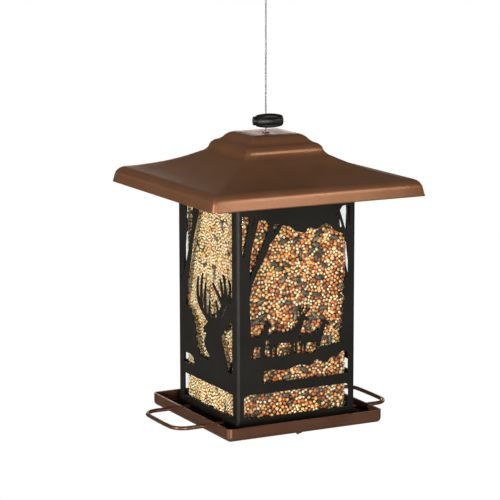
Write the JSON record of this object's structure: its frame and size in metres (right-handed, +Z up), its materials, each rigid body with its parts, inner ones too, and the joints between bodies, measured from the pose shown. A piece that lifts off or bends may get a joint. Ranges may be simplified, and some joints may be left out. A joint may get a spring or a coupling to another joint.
{
  "type": "hanging lantern bird feeder",
  "caption": "Hanging lantern hopper bird feeder: hipped roof that lifts on a steel cable with a push-button lock, cut-out case, clear hopper, tray and wire perches.",
  "frame": {"origin": "inside top of the hanging loop, where a hook bears, on the cable's axis", "axes": "+Z up along the cable; the wide herd picture faces -Y; the perches stand out along X"},
  "size_m": [0.2416, 0.229, 0.4681],
  "materials": {
    "copper_coat": "metallic copper-brown powder coat, soft gloss",
    "tray_coat": "metallic copper-brown powder coat, satin",
    "case_coat": "black powder coat, satin",
    "clear_plastic": "clear moulded plastic",
    "diverter_plastic": "black moulded plastic",
    "seed": "loose mixed bird seed",
    "cable_steel": "stranded galvanised steel",
    "crimp_metal": "plain drawn aluminium",
    "washer_steel": "zinc plated",
    "eyelet": "brown lacquered",
    "lock_plastic": "black moulded plastic, fine grain",
    "spring_steel": "bright spring wire"
  },
  "bodies": {
    "feeder": {"tray": "tray_coat", "perch_left": "tray_coat", "perch_right": "tray_coat", "case_front_left": "case_coat", "case_back_right": "case_coat", "hopper_tube": "clear_plastic", "seed_diverter": "diverter_plastic", "seed_mix": "seed", "hanging_cable": "cable_steel", "loop_ferrule": "crimp_metal", "anchor_washer": "washer_steel", "cable_stop": "crimp_metal"},
    "roof": {"roof_shell": "copper_coat", "roof_grommet": "eyelet"},
    "lock": {"lock_barrel": "lock_plastic", "lock_spring": "spring_steel"},
    "button": {"lock_plunger": "lock_plastic"}
  },
  "joints": [
    {"name": "roof_lift", "type": "slide", "parent": "feeder", "child": "roof", "axis": [0, 0, 1], "range_m": [0, 0.075]},
    {"name": "lock_slide", "type": "slide", "parent": "roof", "child": "lock", "axis": [0, 0, 1], "range_m": [-0.0032, 0.032]},
    {"name": "button_press", "type": "slide", "parent": "lock", "child": "button", "axis": [0.9659, -0.2588, 0], "range_m": [0, 0.003], "stiffness_N_per_m": 600, "springref_m": -0.002, "deforming": ["lock_spring"]}
  ]
}
